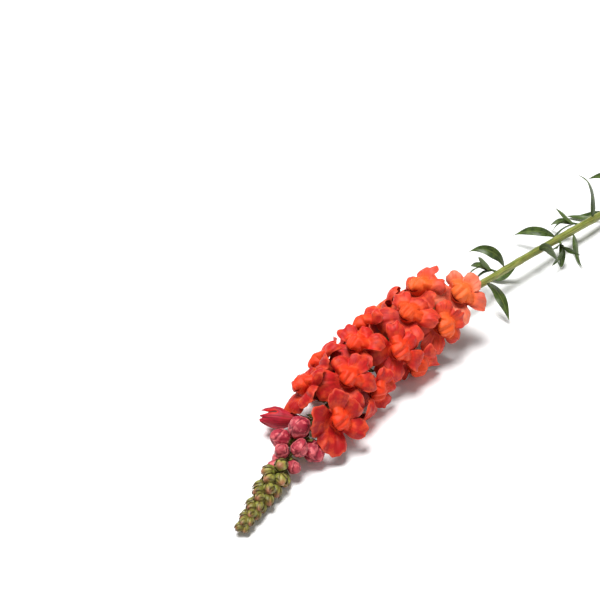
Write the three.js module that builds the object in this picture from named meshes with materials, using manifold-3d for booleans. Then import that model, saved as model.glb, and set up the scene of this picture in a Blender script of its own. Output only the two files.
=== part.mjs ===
// A cut snapdragon stem (Antirrhinum majus) lying on a table: one stalk that carries a flower spike, with
// open florets below, pink buds above them and small green buds at the tip. Narrow leaves grow below it.
// Units are millimetres and degrees. +X runs from the cut end to the tip of the spike and +Z is up.
// The stalk, the flower stalks, calyces, bracts and green buds grew as one body, so they are one solid.
// Each corolla, pink bud, leaf and side shoot is a solid of its own, seated SEAT_GAP from what carries it.
import * as THREE from "three";
import Module from "manifold-3d";

const wasm = await Module();
wasm.setup();

// ---------- Driving dimensions ----------
const STEM_LENGTH = 720;
const CUT_RADIUS = 4.3;
const NECK_RADIUS = 2.9; // where the lowest floret grows
const TIP_RADIUS = 0.9;
const STEM_SIDES = 8;
const STEM_STEP = 20;

const HEADING_AT_CUT = -4.9; // the stem's direction on the table, from +X
const BEND = 20.5; // how far it turns by the tip
const BEND_FROM = 400;
const BEND_TO = 700;
const SPIKE_HEIGHT = 22; // the florets hold the stem's centre this high
const TIP_HEIGHT = 6.5;
const RISE_TO = 400;
const DROOP_FROM = 530;

const GOLDEN_ANGLE = 137.5;
const START_TURN = 45;
const PARTING = 0.69; // the florets part underneath, so that none points into the table
const SPIKE_FROM = 413;

const FLORETS = 18;
const FLORET_PITCH = 11.15;
const FLORET_LEAN = 30; // how far a floret points up the stem, from square to it
const PEDICEL = 5;
const STALK_LEAN = 15; // how much steeper a flower stalk runs
const ROOT_DEPTH = 0.4; // where it starts, over the stem's radius
const FIRST_FLORET_SIZE = 1.16; // over the floret drawn below
const LAST_FLORET_SIZE = 1;
const PETAL = 0.7; // thickness
const SEPAL = 7; // length, in the calyx of an open floret
const SEPAL_WALL = 0.8;

const BUDS = 8;
const BUD_PITCH = 5.4;
const FIRST_BUD_LENGTH = 23;
const LAST_BUD_LENGTH = 12;
const BUD_SHARE = 0.35; // radius over length
const BUD_NOD = 0.08; // how far the tip of a bud hangs, over its length
const BUD_SEPAL_SHARE = 0.36; // its sepals' length over its own

const GREEN_BUDS = 11;
const GREEN_PITCH = 3.2;
const FIRST_GREEN_LENGTH = 13.5;
const LAST_GREEN_LENGTH = 12;

const TIP_BUDS = 18;
const FIRST_TIP_LENGTH = 11.5;
const LAST_TIP_LENGTH = 8;
const GREEN_SHARE = 0.38; // radius over length of every green bud

const LEAVES = 11;
const LEAF_FROM = 118;
const LEAF_TO = 372;
const LEAF_THICKNESS = 0.7;
const FIRST_LEAF_TURN = 345;
const SHOOTS = [
  { s: 357, turn: -65, length: 9, leaves: 4, seed: 1000 },
  { s: 272, turn: 95, length: 10, leaves: 4, seed: 1020 },
  { s: 236, turn: -80, length: 8, leaves: 4, seed: 1040 },
];

const SEAT_GAP = 0.35;
const LEAF_SEAT = 0.95; // from the stem's surface to a leaf's or a shoot's foot
const CLEARANCE = 0.2; // between neighbouring florets, whose lobes take the first of SPREADS that leaves it
const SPREADS = [1.16, 1.08, 1, 0.94, 0.88, 0.82, 0.76, 0.7, 0.62, 0.54, 0.46, 0.38];
const DRAWS = [0, 1, 2, 3, 4, 5, 6, 7, 8]; // of an organ's sway, tried until one clears its neighbours
const FUSING = 0.08; // details smaller than this are dropped where organs grow together
const PRESS_DEPTH = 6; // what would hang lower than this over the table is pressed flat towards it
const BLADE_CLEARANCE = 1.5; // leaves stay this far above the table

// ---------- Small mathematics ----------
const rad = (degrees) => (degrees * Math.PI) / 180;
const clamp = (x, low = 0, high = 1) => Math.min(high, Math.max(low, x));
const mix = (a, b, t) => a + (b - a) * t;
const smooth = (t) => clamp(t) ** 2 * (3 - 2 * clamp(t));
const vec = (x, y, z) => new THREE.Vector3(x, y, z);

// A fixed draw between 0 and 1 for the whole number n.
function chance(n) {
  const x = Math.sin(n * 12.9898 + 4.1) * 43758.5453;
  return x - Math.floor(x);
}
const jitter = (n, size) => (2 * chance(n) - 1) * size;

// p + the sum of each direction times its amount
function along(p, ...pairs) {
  const q = p.clone();
  for (let i = 0; i < pairs.length; i += 2) q.addScaledVector(pairs[i], pairs[i + 1]);
  return q;
}

const blend = (...pairs) => along(vec(0, 0, 0), ...pairs);

// Whatever would hang into the table is pressed flat: no lower than floor, with a soft bend above it.
function press(p, floor) {
  const depth = p.z - floor + PRESS_DEPTH;
  if (depth < 2 * PRESS_DEPTH) p.z = floor + Math.max(depth, 0) ** 2 / (4 * PRESS_DEPTH);
  return p;
}

// ---------- The stem's centre line ----------
const line = [vec(0, 0, 0)];
for (let s = 0; s < STEM_LENGTH; s++) {
  const heading = rad(HEADING_AT_CUT + BEND * smooth((s - BEND_FROM) / (BEND_TO - BEND_FROM)));
  line.push(along(line[s], vec(Math.cos(heading), Math.sin(heading), 0), 1));
}
line.forEach((p, s) => {
  const rise = mix(CUT_RADIUS, SPIKE_HEIGHT, smooth(s / RISE_TO));
  const droop = (SPIKE_HEIGHT - TIP_HEIGHT) * smooth((s - DROOP_FROM) / (STEM_LENGTH - DROOP_FROM));
  p.z = rise - droop;
});

const stemRadius = (s) =>
  s < SPIKE_FROM
    ? mix(CUT_RADIUS, NECK_RADIUS, s / SPIKE_FROM)
    : mix(NECK_RADIUS, TIP_RADIUS, (s - SPIKE_FROM) / (STEM_LENGTH - SPIKE_FROM));

// The point s along the stem, with the directions along it, to its left and up.
function stemAt(s) {
  const i = Math.min(Math.floor(s), STEM_LENGTH - 1);
  const point = line[i].clone().lerp(line[i + 1], s - i);
  const ahead = line[i + 1].clone().sub(line[i]).normalize();
  const left = vec(-ahead.y, ahead.x, 0).normalize();
  return { point, ahead, left, up: ahead.clone().cross(left) };
}

// The direction square to the stem at turn degrees from straight up, positive to the left.
function outward(at, turn) {
  return blend(at.up, Math.cos(rad(turn)), at.left, Math.sin(rad(turn)));
}

// The turn of the n-th organ up the spike: a golden-angle spiral, parted underneath.
function spiralTurn(n, parting) {
  const turn = (START_TURN + GOLDEN_ANGLE * n) % 360;
  return (turn > 180 ? turn - 360 : turn) * parting;
}

// Where an organ sits: its root in the stem, its seat at the end of a flower stalk, and its own forward,
// side and up directions. Its flower stalk runs steeper up the stem than the organ itself.
function perch(s, turn, lean, stalk, seed, sway) {
  const at = stemAt(s);
  const out = outward(at, turn);
  const point = (angle) => blend(out, Math.cos(rad(angle)), at.ahead, Math.sin(rad(angle)));
  const grow = point(lean + STALK_LEAN);
  const root = along(at.point, out, stemRadius(s) * ROOT_DEPTH);
  const seat = along(root, grow, stalk + stemRadius(s) * (1 - ROOT_DEPTH));
  const cross = at.ahead.clone().cross(out);
  const forward = along(point(lean + jitter(seed, sway)), cross, rad(jitter(seed + 50, sway))).normalize();
  const side = at.ahead.clone().cross(forward).normalize();
  const up = forward.clone().cross(side);
  const roll = rad(jitter(seed + 90, sway));
  const turned = (a, b, sign) => blend(a, Math.cos(roll), b, sign * Math.sin(roll));
  return { root, seat, grow, forward, side: turned(side, up, 1), up: turned(up, side, -1) };
}

const place = (perched, f, s, u, floor = PETAL / 2) =>
  press(along(perched.seat, perched.forward, f, perched.side, s, perched.up, u), floor);

// ---------- Solids ----------
// A closed mesh from rings of points, each seen counterclockwise from the end, and a point at each end.
// flip(band, column) says which way a four-sided patch is split.
function loft(rings, start, end, flip = () => false) {
  const n = rings[0].length;
  const points = [start, ...rings.flat(), end];
  const faces = [];
  const at = (ring, i) => 1 + ring * n + (i % n);
  for (let i = 0; i < n; i++) faces.push([0, at(0, i + 1), at(0, i)]);
  for (let j = 0; j + 1 < rings.length; j++)
    for (let i = 0; i < n; i++) {
      const [a, b, c, d] = [at(j, i), at(j, i + 1), at(j + 1, i + 1), at(j + 1, i)];
      faces.push(...(flip(j, i) ? [[a, b, d], [b, c, d]] : [[a, b, c], [a, c, d]]));
    }
  const last = rings.length - 1;
  for (let i = 0; i < n; i++) faces.push([at(last, i), at(last, i + 1), points.length - 1]);
  return { points, faces };
}

function solid({ points, faces }) {
  const vertProperties = new Float32Array(points.flatMap((p) => [p.x, p.y, p.z]));
  const triVerts = new Uint32Array(faces.flat());
  return new wasm.Manifold(new wasm.Mesh({ numProp: 3, vertProperties, triVerts }));
}

const clears = (body, others) => others.every((other) => body.minGap(other, 2 * CLEARANCE) > CLEARANCE);

// The first of the options whose body stays CLEARANCE from all the others, with that body, or nothing.
function firstClear(options, make, others) {
  for (const option of options) {
    const body = solid(make(option));
    if (clears(body, others)) return { option, body };
  }
}

const ring = (count, point) => Array.from({ length: count }, (_, i) => point((i / count) * 2 * Math.PI, i));

// ---------- The corolla of an open floret ----------
// Seen from the front, angles run from the floret's right side over its top. Each of the five lobes lies
// between two angles. Its edge runs in at each end as far as dip says (0 is down to the throat).
const LOBES = [
  { from: 4, to: 90, length: 18, dip: [0.2, 0.62] },
  { from: 90, to: 176, length: 18, dip: [0.62, 0.2] },
  { from: 184, to: 241, length: 14.5, dip: [0.25, 0.55] },
  { from: 241, to: 299, length: 12.5, dip: [0.6, 0.6] },
  { from: 299, to: 356, length: 14.5, dip: [0.55, 0.25] },
];
const LOBE_ANGLES = [
  ...[0, 20, 42, 64, 80, 90, 100, 116, 138, 160],
  ...[180, 200, 220, 241, 256, 270, 284, 299, 320, 340],
];
const DOME_CORNERS = 2.6; // the outline of a lobe: how square its shoulders are
const DOME_RISE = 0.55; // and how steeply it leaves its neighbours
const CORNER_REACH = 2; // of the edge between the lips
// Sections across it: the distance from the seat and the radius, on the upper side and on the lower side.
const FOOT = { upper: { f: 0.9, r: 2.1 }, lower: { f: 0.9, r: 2.3 } };
const THROAT = { upper: { f: 18.5, r: 7 }, lower: { f: 21, r: 8.2 } };
const GUM = { upper: { f: 20.6, r: 5.8 }, lower: { f: 23.4, r: 8.4 } }; // the lobes' inner foot
const CREST = { upper: { f: 23.2, r: 5 }, lower: { f: 28.3, r: 4.8 }, wide: 1.35, up: 0.3 }; // the palate
const HUMP = 1.8; // the palate's two humps stand this far above the furrow between them
const SLIT = { f: 26.4, width: 6, height: 0.4, up: 4.2 }; // the closed mouth
const SLIT_DEPTH = 3.5;
// A lobe's direction at its foot and its tip, from forward, in an open floret and in a bud
const LIP_ANGLES = { upper: [35, 118], lower: [58, 150] };
const SHUT_ANGLES = [12, -62];
const LIP_LENGTH = { upper: 18, lower: 14.5 };
const LIP_CURL = 0.14; // how far a lobe's sides fall back, over its length
const LIP_WAVE = 1.2;
const LIP_WAVES = 7;
const LIP_MIDDLE = 0.55; // the share of its length where a lobe has a middle row of points

const lowness = (angle) => smooth((0.35 - Math.sin(angle)) / 0.7);

// Where the angle lies in its lobe, from -1 to 1, and the lobe's reach there in millimetres.
function lobeAt(angle) {
  const degrees = THREE.MathUtils.euclideanModulo(THREE.MathUtils.radToDeg(angle), 360);
  const lobe = LOBES.find(({ from, to }) => degrees >= from && degrees <= to);
  if (!lobe) return { across: 0, reach: CORNER_REACH };
  const t = (degrees - lobe.from) / (lobe.to - lobe.from);
  const across = 2 * t - 1;
  const dome = (1 - Math.abs(across) ** DOME_CORNERS) ** DOME_RISE;
  return { across, reach: lobe.length * mix(mix(lobe.dip[0], lobe.dip[1], t), 1, dome) };
}

// A point on the middle of the lips' thickness, share of the way from the throat to the edge.
function lipMiddle(bloom, angle, share) {
  const low = lowness(angle);
  const { across, reach } = lobeAt(angle);
  const run = share * reach * bloom.spread;
  const full = mix(LIP_LENGTH.upper, LIP_LENGTH.lower, low);
  const [foot, tip] = [0, 1].map((end) =>
    rad(mix(SHUT_ANGLES[end], mix(LIP_ANGLES.upper[end], LIP_ANGLES.lower[end], low), bloom.open)),
  );
  const rate = (tip - foot) / full;
  const here = foot + rate * run;
  const f = mix(THROAT.upper.f, THROAT.lower.f, low) + (Math.sin(here) - Math.sin(foot)) / rate;
  const r = mix(THROAT.upper.r, THROAT.lower.r, low) + (Math.cos(foot) - Math.cos(here)) / rate;
  const curl = -LIP_CURL * across ** 2 * run;
  const wave = LIP_WAVE * share ** 2 * Math.sin(LIP_WAVES * angle + bloom.phase);
  const size = bloom.size;
  const round = r * size;
  return place(bloom.perch, (f + curl + wave) * size, round * Math.cos(angle), round * Math.sin(angle));
}

// The same point on the front (1) or the back (-1) of the petal.
function lipPoint(bloom, angle, share, face) {
  const step = 0.02;
  const across = lipMiddle(bloom, angle + step, share).sub(lipMiddle(bloom, angle - step, share));
  const down = lipMiddle(bloom, angle, share + step).sub(lipMiddle(bloom, angle, share - step));
  return along(lipMiddle(bloom, angle, share), down.cross(across).normalize(), (face * PETAL) / 2);
}

function corolla(bloom) {
  const angles = LOBE_ANGLES.map(rad);
  const { size } = bloom;
  const scaled = (f, s, u) => place(bloom.perch, f * size, s * size, u * size);
  const band = ({ upper, lower, wide = 1, up = 0 }, hump = 0) =>
    angles.map((angle) => {
      const low = lowness(angle);
      const f = mix(upper.f, lower.f, low) + hump * low * Math.cos(angle) ** 2;
      const r = mix(upper.r, lower.r, low);
      return scaled(f, r * wide * Math.cos(angle), up + r * Math.sin(angle));
    });
  const lip = (share, face) => angles.map((angle) => lipPoint(bloom, angle, share, face));
  const slit = angles.map((angle) =>
    scaled(SLIT.f, SLIT.width * Math.cos(angle), SLIT.up + SLIT.height * Math.sin(angle)),
  );
  const back = [band(FOOT), lip(0, -1), lip(LIP_MIDDLE, -1), lip(1, -1)];
  const front = [lip(1, 1), lip(LIP_MIDDLE, 1), band(GUM), band(CREST, HUMP), slit];
  const start = place(bloom.perch, SEAT_GAP, 0, 0);
  const end = scaled(SLIT.f - SLIT_DEPTH, 0, SLIT.up);
  // The front's patches are split as those behind them are.
  return loft([...back, ...front], start, end, (j) => j >= back.length);
}

const OPENING = [0.14, 0.78]; // of the youngest floret and the next, where 1 is fully open
const SHUT_SPREAD = 0.95; // the widest a shut floret's lobes reach
const SWAY = 7; // degrees by which one floret may point away from the next

const blooms = Array.from({ length: FLORETS }, (_, k) => {
  const s = SPIKE_FROM + FLORET_PITCH * k;
  const turn = spiralTurn(k, PARTING);
  return {
    s,
    turn,
    perches: DRAWS.map((draw) => perch(s, turn, FLORET_LEAN, PEDICEL, 13 * k + 1 + draw, SWAY)),
    size: mix(FIRST_FLORET_SIZE, LAST_FLORET_SIZE, k / (FLORETS - 1)) * (1 + jitter(k + 300, 0.03)),
    open: OPENING[FLORETS - 1 - k] ?? 1,
    phase: 2 * Math.PI * chance(k + 400),
  };
});

// The corollas, from the youngest down, each swayed so that the petals and the green parts placed before it
// let its lobes spread furthest.
function openFlorets(petals, greens) {
  for (const bloom of blooms.toReversed()) {
    const free = (perched) => floretHolder(perched, bloom.size).every((body) => clears(body, petals));
    const perches = bloom.perches.filter(free);
    const widest = mix(SHUT_SPREAD, SPREADS[0], bloom.open);
    const spreads = SPREADS.filter((spread) => spread <= widest);
    const options = spreads.flatMap((spread) => perches.map((perched) => ({ perch: perched, spread })));
    const make = (option) => corolla({ ...bloom, ...option });
    const { option, body } = firstClear(options, make, [...petals, ...greens]);
    Object.assign(bloom, option);
    petals.push(body);
    greens.push(...floretHolder(bloom.perch, bloom.size));
  }
}

// ---------- Pink buds ----------
const BUD_SIDES = 10;
const BUD_RINGS = [0.05, 0.25, 0.52, 0.78, 0.95];
const BUD_WIDTH = 0.92; // from side to side, over its height
const BUD_SWAY = 5;

const budSwell = (t) => Math.sin(Math.PI * t ** 1.1) ** 0.6;

function bud({ perch: perched, length, phase }) {
  const spot = (t, side, up) => place(perched, SEAT_GAP + length * t, side, up - BUD_NOD * length * t * t);
  const rings = BUD_RINGS.map((t) =>
    ring(BUD_SIDES, (angle) => {
      const r = length * BUD_SHARE * budSwell(t) * (1 + 0.1 * t * Math.cos(3 * angle + phase));
      return spot(t, r * Math.cos(angle) * BUD_WIDTH, r * Math.sin(angle));
    }),
  );
  return loft(rings, spot(0, 0, 0), spot(1, 0, 0));
}

const budStart = SPIKE_FROM + FLORET_PITCH * FLORETS;
const buds = Array.from({ length: BUDS }, (_, k) => {
  const t = k / (BUDS - 1);
  const s = budStart + BUD_PITCH * k * (1 - 0.12 * t);
  const turn = spiralTurn(FLORETS + k, mix(PARTING, 0.8, t));
  return {
    s,
    turn,
    perch: perch(s, turn, mix(36, 46, t), mix(PEDICEL, 3, t), 11 * k + 500, BUD_SWAY),
    length: mix(FIRST_BUD_LENGTH, LAST_BUD_LENGTH, t),
    phase: 2 * Math.PI * chance(k + 600),
  };
});

// ---------- The green body: stalk, flower stalks, calyces, bracts, green buds ----------
function stalk() {
  const count = Math.round(STEM_LENGTH / STEM_STEP);
  const rings = Array.from({ length: count }, (_, j) => {
    const s = (j / (count - 1)) * (STEM_LENGTH - 4);
    const at = stemAt(s);
    return ring(STEM_SIDES, (angle) =>
      along(at.point, at.left, stemRadius(s) * Math.cos(angle), at.up, stemRadius(s) * Math.sin(angle)),
    );
  });
  return loft(rings, line[0], line[STEM_LENGTH - 1]);
}

// A flower stalk, which reaches end millimetres beyond the seat, into the calyx or bud it carries.
function flowerStalk({ root, seat, grow, forward }, radius, end) {
  const side = grow.clone().cross(vec(0, 0, 1)).normalize();
  const up = grow.clone().cross(side);
  const collar = (p, r) => ring(5, (angle) => along(p, side, r * Math.cos(angle), up, r * Math.sin(angle)));
  const rings = [collar(root, radius), collar(along(seat, forward, end - 0.4), radius)];
  return loft(rings, root, along(seat, forward, end));
}

// A cup of five pointed sepals round the foot of a corolla or bud, whose radius at distance f is foot(f).
const CALYX_SIDES = 10;
const CALYX_NOTCH = 0.42; // where two sepals part, over their length
const CALYX_FLOOR = { f: 0.9, depth: 2.5 };
function calyx(perched, length, foot) {
  const loose = 1 / Math.cos(Math.PI / CALYX_SIDES);
  const spot = (f, r, angle) => place(perched, f, r * Math.cos(angle), r * Math.sin(angle));
  const rim = (thick) =>
    ring(CALYX_SIDES, (angle, i) => {
      const f = length * (i % 2 ? CALYX_NOTCH : 1);
      return spot(f, (foot(f) + SEAT_GAP) * loose + thick, angle);
    });
  const dish = (f, r) => ring(CALYX_SIDES, (angle) => spot(f, r, angle));
  const floor = (foot(CALYX_FLOOR.f) + SEAT_GAP) * loose;
  const rings = [dish(0, floor + SEPAL_WALL), rim(SEPAL_WALL), rim(0), dish(0.05, floor)];
  return loft(rings, spot(-CALYX_FLOOR.depth, 0, 0), spot(0, 0, 0), (j) => j === 2);
}

// A narrow blade along points, from its normals and half-widths there. Its section is flat, or a shallow V
// where fold says how far the edges rise for their width.
function blade(points, normals, widths, thickness, fold) {
  const last = points.length - 1;
  const middles = points.map((p) => press(p.clone(), BLADE_CLEARANCE));
  const rings = points.map((p, j) => {
    const [before, after] = [Math.max(j - 1, 0), Math.min(j + 1, last)];
    const ahead = points[after].clone().sub(points[before]).normalize();
    const across = normals[j].clone().cross(ahead).normalize();
    const rise = ahead.clone().cross(across);
    const edge = (side) => along(p, across, side * widths[j], rise, fold * widths[j]);
    const [right, left] = [edge(1), edge(-1)].map((q) => press(q, BLADE_CLEARANCE));
    const n = middles[after].clone().sub(middles[before]).cross(right.clone().sub(left)).normalize();
    const top = (q) => along(q, n, thickness / 2);
    const under = (q) => along(q, n, -thickness / 2);
    if (!fold) return [under(right), top(right), top(left), under(left)];
    return [under(right), top(right), top(middles[j]), top(left), under(left), under(middles[j])];
  });
  const end = (j, k) => middles[j].clone().lerp(middles[k], -0.08);
  return loft(rings, end(0, 1), end(last, last - 1), (j, i) => i > rings[0].length / 2);
}

// A blade that leaves a point in one direction and bends towards another.
function curvedBlade({ from, towards, bendTo, bend, face, fold = 0, twist = 0, ...shape }) {
  const { length, width, steps, thickness, outline } = shape;
  const points = [from.clone()];
  const direction = towards.clone().normalize();
  const normals = [];
  const widths = [];
  for (let i = 0; i <= steps; i++) {
    const turn = rad(twist * (i / steps));
    const flat = along(face, direction, -face.dot(direction)).normalize();
    const edge = direction.clone().cross(flat);
    normals.push(blend(flat, Math.cos(turn), edge, Math.sin(turn)));
    widths.push(width * outline(i / steps));
    if (i === steps) break;
    points.push(along(points[i], direction, length / steps));
    direction.addScaledVector(bendTo, bend / steps).normalize();
  }
  return blade(points, normals, widths, thickness, fold);
}

const GREEN_RINGS = [0.1, 0.45, 0.85];
const BRACT_THICKNESS = 0.8;
const BRACT_OUTLINE = (t) => Math.max(0.12, Math.sin(Math.PI * (0.22 + 0.76 * t)));
function bract(s, turn, length, width, lean) {
  const at = stemAt(s);
  const out = outward(at, turn);
  return curvedBlade({
    from: along(at.point, out, stemRadius(s) * 0.5),
    towards: blend(out, Math.cos(rad(lean)), at.ahead, Math.sin(rad(lean))),
    bendTo: along(out, at.ahead, -0.6),
    bend: 0.6,
    face: at.ahead,
    length,
    width,
    steps: 2,
    thickness: BRACT_THICKNESS,
    outline: BRACT_OUTLINE,
  });
}

// A small bud shut in its calyx: an egg that comes to a point, with five ribs where it has sides enough.
function greenBud(perched, length, sides) {
  const ribs = sides > 5 ? 0.12 : 0;
  const rings = GREEN_RINGS.map((t) =>
    ring(sides, (angle) => {
      const r = length * GREEN_SHARE * budSwell(t) * (1 + ribs * Math.cos(5 * angle));
      return place(perched, length * t, r * Math.cos(angle), r * Math.sin(angle));
    }),
  );
  return loft(rings, place(perched, 0, 0, 0), place(perched, length, 0, 0));
}

const tubeFoot = (size) => (f) => {
  const [near, far] = [FOOT.lower, THROAT.lower];
  return size * mix(near.r, far.r, (f / size - near.f) / (far.f - near.f));
};
const budFoot = (length) => (f) => length * BUD_SHARE * budSwell(clamp(f / length, 0.02, 0.6)) * 1.06;

// The flower stalk and the calyx that hold a corolla, and those that hold a pink bud.
const floretHolder = (perched, size) =>
  [flowerStalk(perched, 1.1, -0.6), calyx(perched, SEPAL * size, tubeFoot(size))].map(solid);
const budHolder = ({ perch: perched, length }) =>
  [flowerStalk(perched, 1, -0.6), calyx(perched, BUD_SEPAL_SHARE * length, budFoot(length))].map(solid);

// Everything green on the spike, kept clear of the petals: a bract leans back, and a green bud takes another
// draw of its sway, until it clears them.
function greenParts(petals, greens) {
  const bodies = [...greens];
  const addBract = (s, turn, length, width, lean) => {
    const leans = [0, 15, 30, 45].map((back) => lean - back);
    bodies.push(firstClear(leans, (option) => bract(s, turn, length, width, option), petals)?.body);
  };
  const addBud = (s, turn, lean, stalkLength, length, sides, seed) => {
    const at = (draw) => perch(s, turn, lean, stalkLength, seed + draw, BUD_SWAY);
    bodies.push(firstClear(DRAWS, (draw) => greenBud(at(draw), length, sides), petals)?.body);
    if (stalkLength > 1) bodies.push(solid(flowerStalk(at(0), 0.9, 2)));
  };
  [...blooms, ...buds].forEach(({ s, turn }, k) => {
    const t = k / (FLORETS + BUDS - 1);
    addBract(s - 4, turn, mix(15, 8, t ** 0.6), mix(2.8, 1.9, t), mix(15, 25, t));
  });
  const greenStart = buds[BUDS - 1].s + 5;
  for (let k = 0; k < GREEN_BUDS; k++) {
    const t = k / (GREEN_BUDS - 1);
    const s = greenStart + GREEN_PITCH * k * (1 - 0.15 * t);
    const turn = spiralTurn(FLORETS + BUDS + k, 0.85);
    const length = mix(FIRST_GREEN_LENGTH, LAST_GREEN_LENGTH, t);
    addBud(s, turn, mix(40, 52, t), mix(2.4, 1.1, t), length, 8, 13 * k + 700);
    addBract(s - 2.5, turn, mix(10, 8, t), 1.9, mix(28, 42, t));
  }
  const tipStart = greenStart + GREEN_PITCH * GREEN_BUDS * 0.85 + 0.4;
  for (let k = 0; k < TIP_BUDS; k++) {
    const t = k / (TIP_BUDS - 1);
    const s = mix(tipStart, STEM_LENGTH - 6, t);
    const turn = spiralTurn(FLORETS + BUDS + GREEN_BUDS + k, 0.95);
    const length = mix(FIRST_TIP_LENGTH, LAST_TIP_LENGTH, t);
    addBud(s, turn, mix(50, 68, t), 0.6, length, 5, 17 * k + 800);
    if (k % 2 === 0) addBract(s - 1.5, turn, mix(7.5, 5, t), 1.6, mix(46, 62, t));
  }
  return bodies.filter(Boolean);
}

// ---------- Leaves and side shoots ----------
const LEAF_OUTLINE = (t) => Math.max(0.1, 0.2 * (1 - t) ** 3 + Math.sin(Math.PI * t ** 0.8) ** 1.1);
const DOWN = vec(0, 0, -1);

function leaf(k) {
  const s = mix(LEAF_FROM, LEAF_TO, k / (LEAVES - 1)) + jitter(k + 900, 6);
  const turn = ((FIRST_LEAF_TURN + GOLDEN_ANGLE * k) % 360) - 180;
  const at = stemAt(s);
  const out = outward(at, turn * 0.85);
  const lean = mix(45, -5, chance(k + 920));
  return curvedBlade({
    from: along(at.point, out, stemRadius(s) + LEAF_SEAT),
    towards: blend(out, Math.cos(rad(lean)), at.ahead, Math.sin(rad(lean))),
    bendTo: along(DOWN, vec(out.x, out.y, 0), 0.5, at.ahead, 0.3),
    bend: mix(1.2, 2.4, chance(k + 940)),
    face: at.ahead,
    length: mix(54, 38, k / (LEAVES - 1)) * (1 + jitter(k + 960, 0.15)),
    width: mix(5, 4, chance(k + 980)),
    steps: 7,
    thickness: LEAF_THICKNESS,
    outline: LEAF_OUTLINE,
    fold: 0.25,
    twist: jitter(k + 990, 80),
  });
}

// A short shoot from the foot of a leaf: a twig with small leaves around it.
function sideShoot({ s, turn, length, leaves, seed }) {
  const at = stemAt(s);
  const out = outward(at, turn);
  const grow = blend(out, 0.8, at.ahead, 0.6);
  const foot = along(at.point, out, stemRadius(s) + LEAF_SEAT);
  const side = at.ahead.clone().cross(out).normalize();
  const up = grow.clone().cross(side);
  const spot = (d, r, angle) => along(foot, grow, d, side, r * Math.cos(angle), up, r * Math.sin(angle));
  const collar = (d, r) => ring(5, (angle) => spot(d, r, angle));
  const parts = [loft([collar(0.4, 1.1), collar(length, 0.8)], spot(-0.4, 0, 0), spot(length + 0.5, 0, 0))];
  for (let k = 0; k < leaves; k++) {
    const share = (k + 0.6) / leaves;
    const around = rad(GOLDEN_ANGLE * k + 40);
    const sideways = blend(side, Math.cos(around), up, Math.sin(around));
    parts.push(
      curvedBlade({
        from: along(foot, grow, length * share),
        towards: along(sideways, grow, mix(1.1, 2.4, share)),
        bendTo: along(sideways, DOWN, 1.1),
        bend: 1.1,
        face: grow,
        length: mix(31, 19, share) * (1 + jitter(seed + k, 0.2)),
        width: mix(3.2, 2.6, share),
        steps: 3,
        thickness: BRACT_THICKNESS,
        outline: BRACT_OUTLINE,
      }),
    );
  }
  return parts;
}

// ---------- The scene graph ----------
const COLOURS = {
  green: { color: 0x7f8f35, roughness: 0.55 },
  petal: { color: 0xf04a28, roughness: 0.6 },
  bud: { color: 0xd0435c, roughness: 0.5 },
  leaf: { color: 0x46642b, roughness: 0.5 },
};

function meshOf(name, body, look) {
  const { vertProperties, numProp, triVerts } = body.getMesh();
  const position = vertProperties.filter((_, i) => i % numProp < 3);
  const geometry = new THREE.BufferGeometry();
  geometry.setAttribute("position", new THREE.BufferAttribute(position, 3));
  geometry.setIndex(new THREE.BufferAttribute(triVerts, 1));
  geometry.computeVertexNormals();
  const mesh = new THREE.Mesh(geometry, new THREE.MeshStandardMaterial({ ...look, metalness: 0 }));
  mesh.name = name;
  return mesh;
}

// The bodies grown together as one, without scraps.
function fused(bodies) {
  const whole = wasm.Manifold.union(bodies).asOriginal().simplify(FUSING).decompose();
  return whole.reduce((a, b) => (a.volume() > b.volume() ? a : b));
}

const pinkBuds = buds.map((each) => solid(bud(each)));
const petals = [...pinkBuds];
const greens = [solid(stalk()), ...buds.flatMap(budHolder)];
openFlorets(petals, greens);
const corollas = petals.slice(BUDS).toReversed();

const two = (k) => String(k + 1).padStart(2, "0");
const group = new THREE.Group();
group.add(meshOf("stem", fused(greenParts(petals, greens)), COLOURS.green));
corollas.forEach((body, k) => group.add(meshOf(`floret_${two(k)}`, body, COLOURS.petal)));
pinkBuds.forEach((body, k) => group.add(meshOf(`bud_${two(k)}`, body, COLOURS.bud)));
for (let k = 0; k < LEAVES; k++) group.add(meshOf(`leaf_${two(k)}`, solid(leaf(k)), COLOURS.leaf));
SHOOTS.forEach((shoot, k) => {
  group.add(meshOf(`side_shoot_${two(k)}`, fused(sideShoot(shoot).map(solid)), COLOURS.leaf));
});

const box = new THREE.Box3().setFromObject(group);
const middle = box.getCenter(vec(0, 0, 0));
group.position.set(-middle.x, -middle.y, -box.min.z);

export default group;
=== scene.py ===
"""A cut snapdragon stem on a white table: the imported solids, dressed with fine petals, buds and leaves.

Dimensions are in millimetres and degrees. Points are worked out along the stem's own centre line, which
starts at the middle of the cut end, and become metres in the row's frame when a mesh is made.
"""
import math

import bpy
import numpy as np
from numpy import arange, clip, concatenate, cos, linspace, maximum, pi, radians, sin, stack
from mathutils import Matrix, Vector


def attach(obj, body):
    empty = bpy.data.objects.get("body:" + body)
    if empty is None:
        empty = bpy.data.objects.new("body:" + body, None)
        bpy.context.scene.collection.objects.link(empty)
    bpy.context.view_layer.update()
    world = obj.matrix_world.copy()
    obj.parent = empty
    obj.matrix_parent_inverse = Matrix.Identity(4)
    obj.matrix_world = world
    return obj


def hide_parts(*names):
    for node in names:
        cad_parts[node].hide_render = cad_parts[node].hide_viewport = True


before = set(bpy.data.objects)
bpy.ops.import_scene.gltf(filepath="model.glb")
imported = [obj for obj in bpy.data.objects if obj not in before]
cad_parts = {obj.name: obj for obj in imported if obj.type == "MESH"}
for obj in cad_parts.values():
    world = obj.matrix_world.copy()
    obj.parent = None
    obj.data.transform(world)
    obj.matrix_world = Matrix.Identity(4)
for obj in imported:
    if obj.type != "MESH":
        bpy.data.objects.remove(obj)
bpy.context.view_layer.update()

MM = 0.001

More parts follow.
